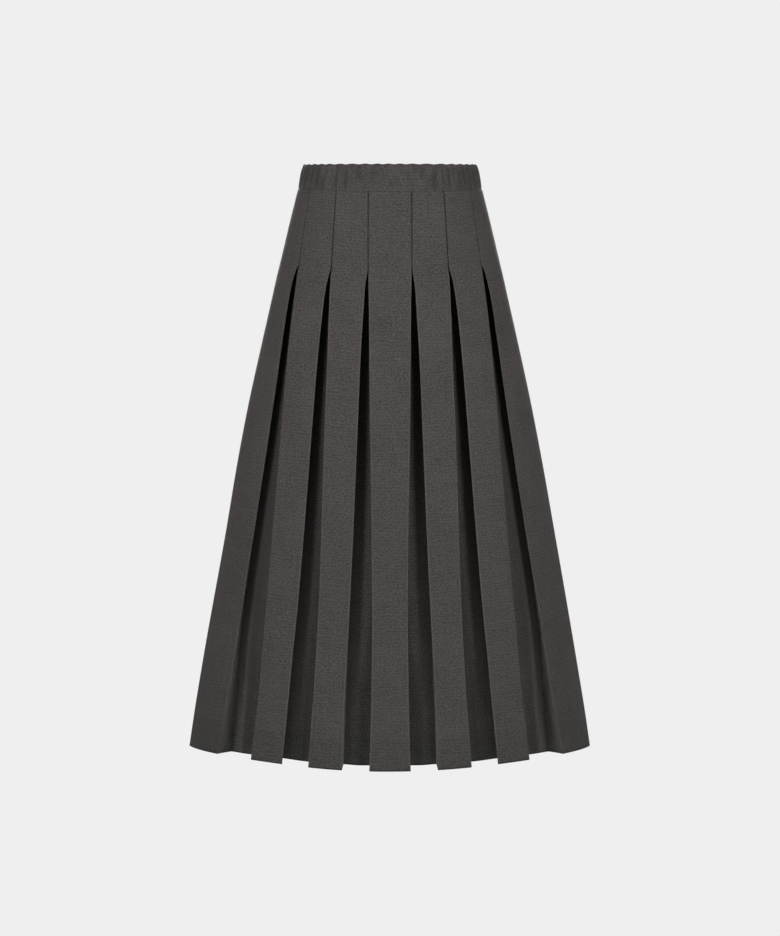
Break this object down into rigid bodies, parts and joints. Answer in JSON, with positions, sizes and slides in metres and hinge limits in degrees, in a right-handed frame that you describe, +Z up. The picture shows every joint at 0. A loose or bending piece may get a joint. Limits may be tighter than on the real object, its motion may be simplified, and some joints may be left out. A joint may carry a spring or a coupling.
{
  "type": "pleated midi skirt",
  "caption": "Flared midi skirt with wide box pleats sewn shut to hip height and an elastic waistband, filled out as if worn and open at waist and hem.",
  "frame": {"origin": "centre of the waistband, half way up its height at the centre front", "axes": "+Z up, the front of the skirt faces -Y, +X to the wearer's left"},
  "size_m": [0.5504, 0.3298, 0.8005],
  "materials": {
    "skirt_suiting": "matt dark warm grey melange suiting",
    "band_suiting": "matt dark warm grey melange suiting, gathered"
  },
  "bodies": {
    "root": {"waistband": "band_suiting", "front_panel": "skirt_suiting", "back_panel": "skirt_suiting"}
  },
  "joints": []
}
